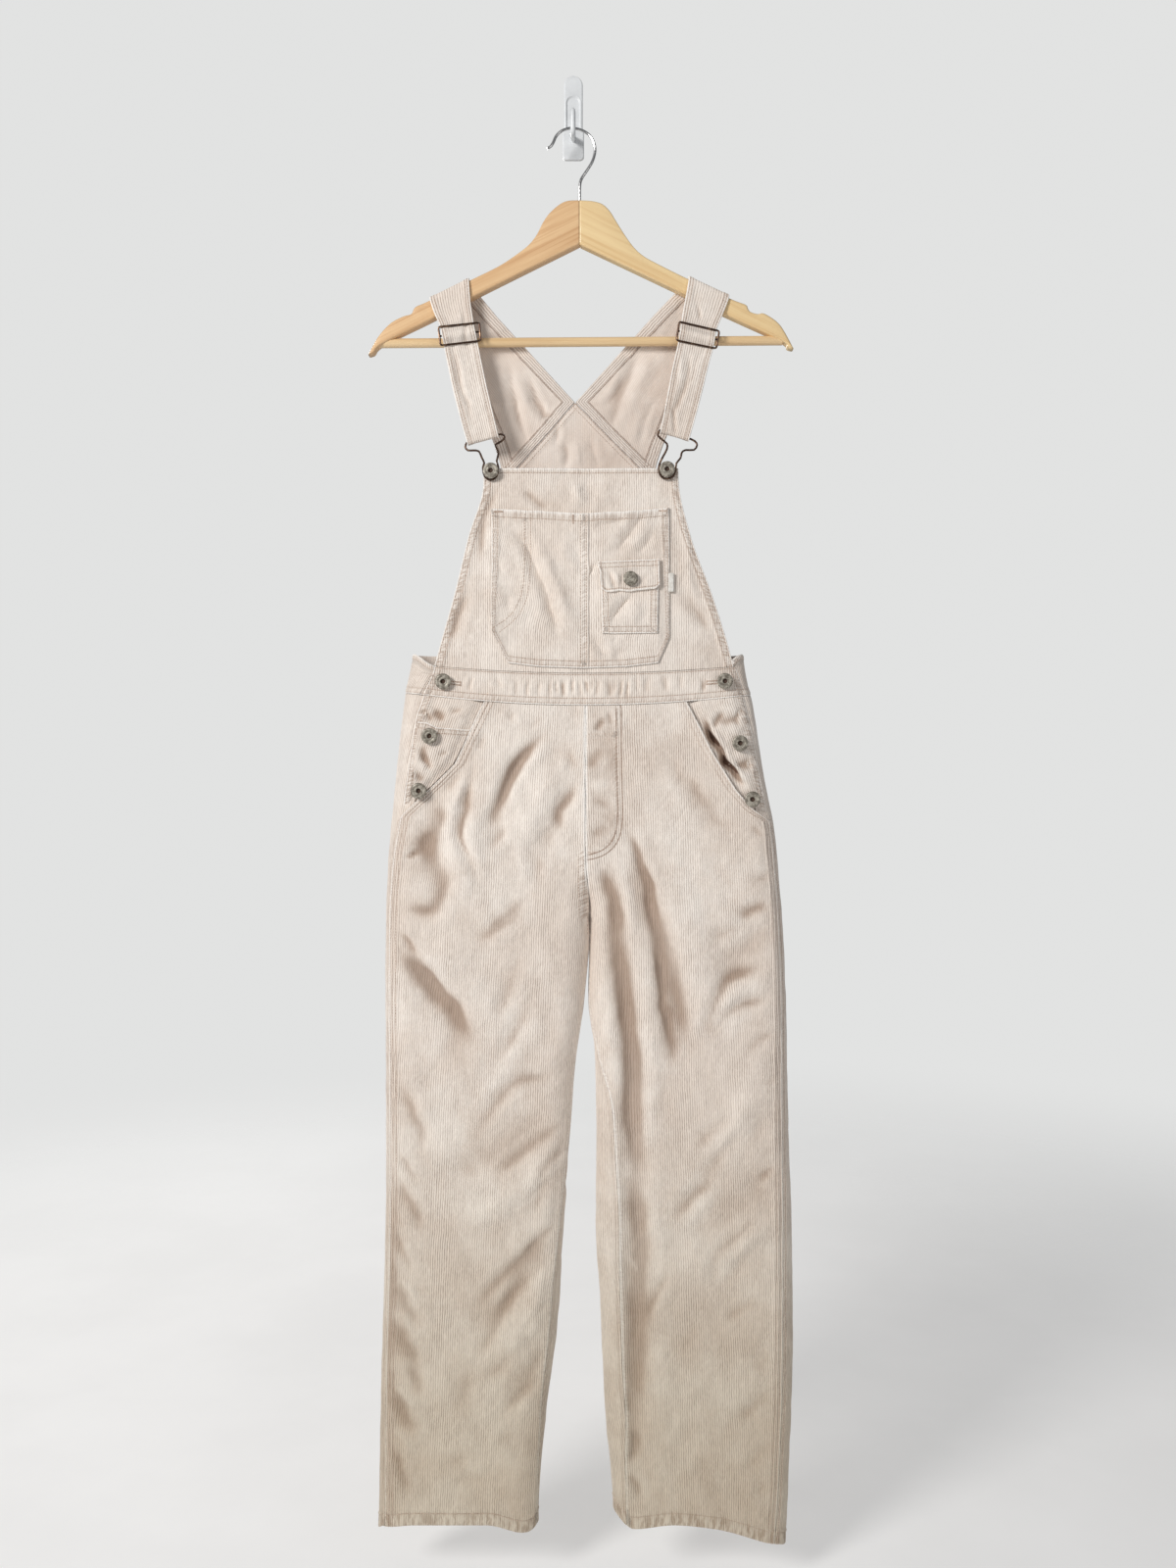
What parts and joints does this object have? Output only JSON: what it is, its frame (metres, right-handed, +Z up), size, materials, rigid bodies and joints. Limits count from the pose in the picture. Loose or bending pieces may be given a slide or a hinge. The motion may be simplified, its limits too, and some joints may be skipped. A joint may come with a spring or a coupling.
{
  "type": "bib overalls on a hanger",
  "caption": "Fine-cord bib overalls with wide straight legs, bib and slant pockets and wire buckles, hung by their straps from a wooden hanger on an adhesive wall hook.",
  "frame": {"origin": "middle of the flat back face of the wall hook's plate, on the wall", "axes": "+Z is up along the hanging garment, -Y points away from the wall towards the viewer, +X is to the right seen from the front"},
  "size_m": [0.4483, 0.0707, 1.5559],
  "materials": {
    "corduroy": "fine-wale corduroy, sandy beige, with a soft nap",
    "label_weave": "plain white woven tape",
    "bronze_wire": "dark bronze plated wire, satin",
    "pewter": "antique pewter, satin",
    "hanger_wood": "clear-lacquered light beech",
    "hook_steel": "nickel-plated wire",
    "hook_plastic": "white moulded plastic"
  },
  "bodies": {
    "root": {"adjuster_l": "bronze_wire", "adjuster_r": "bronze_wire", "back_center": "corduroy", "back_leg_l": "corduroy", "back_leg_r": "corduroy", "back_side_l": "corduroy", "back_side_r": "corduroy", "bib_button_l": "pewter", "bib_button_r": "pewter", "bib_front": "corduroy", "bib_pocket": "corduroy", "buckle_l": "bronze_wire", "buckle_r": "bronze_wire", "coin_pocket": "corduroy", "flap_button": "pewter", "front_leg_l": "corduroy", "front_leg_r": "corduroy", "hanger_arm_l": "hanger_wood", "hanger_arm_r": "hanger_wood", "hanger_bar": "hanger_wood", "hanger_hook": "hook_steel", "label_tab": "label_weave", "patch_pocket": "corduroy", "pocket_facing_l": "corduroy", "pocket_facing_r": "corduroy", "pocket_flap": "corduroy", "side_button_l1": "pewter", "side_button_l2": "pewter", "side_button_l3": "pewter", "side_button_r1": "pewter", "side_button_r2": "pewter", "side_button_r3": "pewter", "strap_l": "corduroy", "strap_r": "corduroy", "waistband_back": "corduroy", "waistband_front": "corduroy", "wall_hook": "hook_plastic"}
  },
  "joints": []
}
